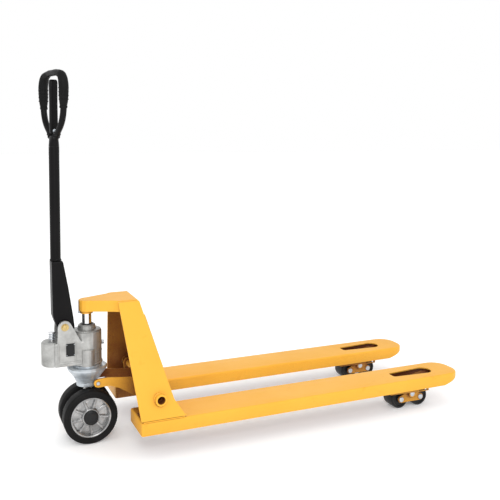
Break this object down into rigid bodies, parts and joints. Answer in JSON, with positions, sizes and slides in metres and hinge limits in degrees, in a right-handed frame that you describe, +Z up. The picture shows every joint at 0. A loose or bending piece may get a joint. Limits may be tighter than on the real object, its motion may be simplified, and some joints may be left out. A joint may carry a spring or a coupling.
{
  "type": "pallet truck",
  "caption": "Hand pallet truck with two forks on an A-frame, a cast hydraulic pump over twin steer wheels, tandem load rollers and a loop handle.",
  "frame": {"origin": "on the floor under the middle of the truck", "axes": "+X along the forks towards their tips, +Y towards the operator's left when facing the forks, +Z up"},
  "size_m": [1.5245, 0.512, 1.2355],
  "materials": {
    "yellow_paint": "semi-gloss orange-yellow paint on steel",
    "zinc_plate": "zinc-plated steel",
    "cast_silver": "silver-painted iron casting",
    "chrome_rod": "hard-chromed and ground",
    "black_paint": "semi-gloss black paint on steel",
    "black_rubber": "moulded rubber over a steel loop",
    "tyre_rubber": "solid rubber tread",
    "roller_black": "moulded nylon",
    "wheel_aluminium": "die-cast aluminium",
    "black_plastic": "moulded plastic"
  },
  "bodies": {
    "root": {"thrust_base": "zinc_plate", "thrust_bearing": "zinc_plate"},
    "fork_frame": {"fork_left": "yellow_paint", "fork_right": "yellow_paint", "side_plate_left": "yellow_paint", "side_plate_right": "yellow_paint", "back_plate": "yellow_paint", "top_bracket": "yellow_paint", "piston_rod": "chrome_rod", "bracket_screw": "zinc_plate", "torsion_bush_left": "yellow_paint", "torsion_bush_right": "yellow_paint", "fork_pivot_pin_left": "zinc_plate", "fork_pivot_pin_right": "zinc_plate"},
    "rocker": {"torsion_tube": "yellow_paint", "rocker_arm_left": "yellow_paint", "rocker_arm_right": "yellow_paint", "push_lever_left": "yellow_paint", "push_lever_right": "yellow_paint", "lever_pin_left": "zinc_plate", "lever_pin_right": "zinc_plate", "rocker_pin": "zinc_plate"},
    "steering": {"pump_body": "cast_silver", "gland_ring": "cast_silver", "name_plate": "black_plastic", "handle_pin": "zinc_plate", "steer_axle": "zinc_plate", "drain_plug": "zinc_plate", "pump_spring": "zinc_plate"},
    "handle": {"handle_yoke": "black_paint", "handle_shaft": "black_paint", "handle_head": "black_paint", "handle_loop": "black_rubber"},
    "control_lever": {"control_lever": "black_paint"},
    "plunger": {"plunger": "chrome_rod"},
    "valve": {"valve_lever": "zinc_plate"},
    "push_rod_left": {"push_rod_left": "yellow_paint"},
    "roller_frame_left": {"roller_frame_left": "yellow_paint", "tandem_pin_left": "zinc_plate"},
    "tandem_left": {"tandem_link_left": "yellow_paint", "roller_axle_left_rear": "zinc_plate", "roller_axle_left_front": "zinc_plate"},
    "steer_wheel_left": {"steer_tyre_left": "tyre_rubber", "steer_rim_left": "wheel_aluminium", "hub_cap_left": "black_plastic"},
    "roller_left_rear": {"load_roller_left_rear": "roller_black"},
    "roller_left_front": {"load_roller_left_front": "roller_black"},
    "push_rod_right": {"push_rod_right": "yellow_paint"},
    "roller_frame_right": {"roller_frame_right": "yellow_paint", "tandem_pin_right": "zinc_plate"},
    "tandem_right": {"tandem_link_right": "yellow_paint", "roller_axle_right_rear": "zinc_plate", "roller_axle_right_front": "zinc_plate"},
    "steer_wheel_right": {"steer_tyre_right": "tyre_rubber", "steer_rim_right": "wheel_aluminium", "hub_cap_right": "black_plastic"},
    "roller_right_rear": {"load_roller_right_rear": "roller_black"},
    "roller_right_front": {"load_roller_right_front": "roller_black"}
  },
  "joints": [
    {"name": "lift", "type": "slide", "parent": "root", "child": "fork_frame", "axis": [0, 0, 1], "range_m": [-0.035, 0.07]},
    {"name": "rocker_hinge", "type": "hinge", "parent": "fork_frame", "child": "rocker", "pos_m": [-0.4245, 0, 0.18], "axis": [0, -1, 0], "range_deg": [-12.6, 25.1]},
    {"name": "steering", "type": "hinge", "parent": "root", "child": "steering", "pos_m": [-0.6125, 0, 0.2], "axis": [0, 0, 1], "range_deg": [-95, 95]},
    {"name": "handle_tilt", "type": "hinge", "parent": "steering", "child": "handle", "pos_m": [-0.691, 0, 0.395], "axis": [0, -1, 0], "range_deg": [0, 85]},
    {"name": "control_lever", "type": "hinge", "parent": "handle", "child": "control_lever", "pos_m": [-0.7115, 0, 1.036], "axis": [-0.2419, 0.9703, 0], "range_deg": [-12, 12], "stiffness_Nm_per_rad": 4},
    {"name": "plunger_slide", "type": "slide", "parent": "steering", "child": "plunger", "axis": [0, 0, -1], "range_m": [0, 0.014], "deforming": ["pump_spring"]},
    {"name": "valve_lever", "type": "hinge", "parent": "steering", "child": "valve", "pos_m": [-0.6625, 0.048, 0.32], "axis": [0, 1, 0], "range_deg": [0, 20], "stiffness_Nm_per_rad": 1},
    {"name": "push_rod_hinge_left", "type": "hinge", "parent": "rocker", "child": "push_rod_left", "pos_m": [-0.4245, 0.181, 0.101], "axis": [0, -1, 0], "range_deg": [-28.3, 14.2]},
    {"name": "roller_frame_hinge_left", "type": "hinge", "parent": "fork_frame", "child": "roller_frame_left", "pos_m": [0.702, 0.181, 0.096], "axis": [0, -1, 0], "range_deg": [-14.4, 28.75]},
    {"name": "tandem_hinge_left", "type": "hinge", "parent": "roller_frame_left", "child": "tandem_left", "pos_m": [0.5525, 0.181, 0.055], "axis": [0, -1, 0], "range_deg": [-28.75, 14.4]},
    {"name": "steer_wheel_spin_left", "type": "hinge", "parent": "steering", "child": "steer_wheel_left", "pos_m": [-0.6125, 0.042, 0.089], "axis": [0, 1, 0], "continuous": true},
    {"name": "roller_spin_left_rear", "type": "hinge", "parent": "tandem_left", "child": "roller_left_rear", "pos_m": [0.5095, 0.181, 0.036], "axis": [0, 1, 0], "continuous": true},
    {"name": "roller_spin_left_front", "type": "hinge", "parent": "tandem_left", "child": "roller_left_front", "pos_m": [0.5955, 0.181, 0.036], "axis": [0, 1, 0], "continuous": true},
    {"name": "push_rod_hinge_right", "type": "hinge", "parent": "rocker", "child": "push_rod_right", "pos_m": [-0.4245, -0.181, 0.101], "axis": [0, -1, 0], "range_deg": [-28.3, 14.2]},
    {"name": "roller_frame_hinge_right", "type": "hinge", "parent": "fork_frame", "child": "roller_frame_right", "pos_m": [0.702, -0.181, 0.096], "axis": [0, -1, 0], "range_deg": [-14.4, 28.75]},
    {"name": "tandem_hinge_right", "type": "hinge", "parent": "roller_frame_right", "child": "tandem_right", "pos_m": [0.5525, -0.181, 0.055], "axis": [0, -1, 0], "range_deg": [-28.75, 14.4]},
    {"name": "steer_wheel_spin_right", "type": "hinge", "parent": "steering", "child": "steer_wheel_right", "pos_m": [-0.6125, -0.042, 0.089], "axis": [0, 1, 0], "continuous": true},
    {"name": "roller_spin_right_rear", "type": "hinge", "parent": "tandem_right", "child": "roller_right_rear", "pos_m": [0.5095, -0.181, 0.036], "axis": [0, 1, 0], "continuous": true},
    {"name": "roller_spin_right_front", "type": "hinge", "parent": "tandem_right", "child": "roller_right_front", "pos_m": [0.5955, -0.181, 0.036], "axis": [0, 1, 0], "continuous": true}
  ],
  "couplings": [
    {"joint": "rocker_hinge", "follows": "lift", "rad_per_m": 6.248},
    {"joint": "plunger_slide", "follows": "handle_tilt", "m_per_rad": 0.00943},
    {"joint": "push_rod_hinge_left", "follows": "lift", "rad_per_m": -7.033},
    {"joint": "roller_frame_hinge_left", "follows": "lift", "rad_per_m": 7.156},
    {"joint": "tandem_hinge_left", "follows": "lift", "rad_per_m": -7.156},
    {"joint": "push_rod_hinge_right", "follows": "lift", "rad_per_m": -7.033},
    {"joint": "roller_frame_hinge_right", "follows": "lift", "rad_per_m": 7.156},
    {"joint": "tandem_hinge_right", "follows": "lift", "rad_per_m": -7.156}
  ]
}
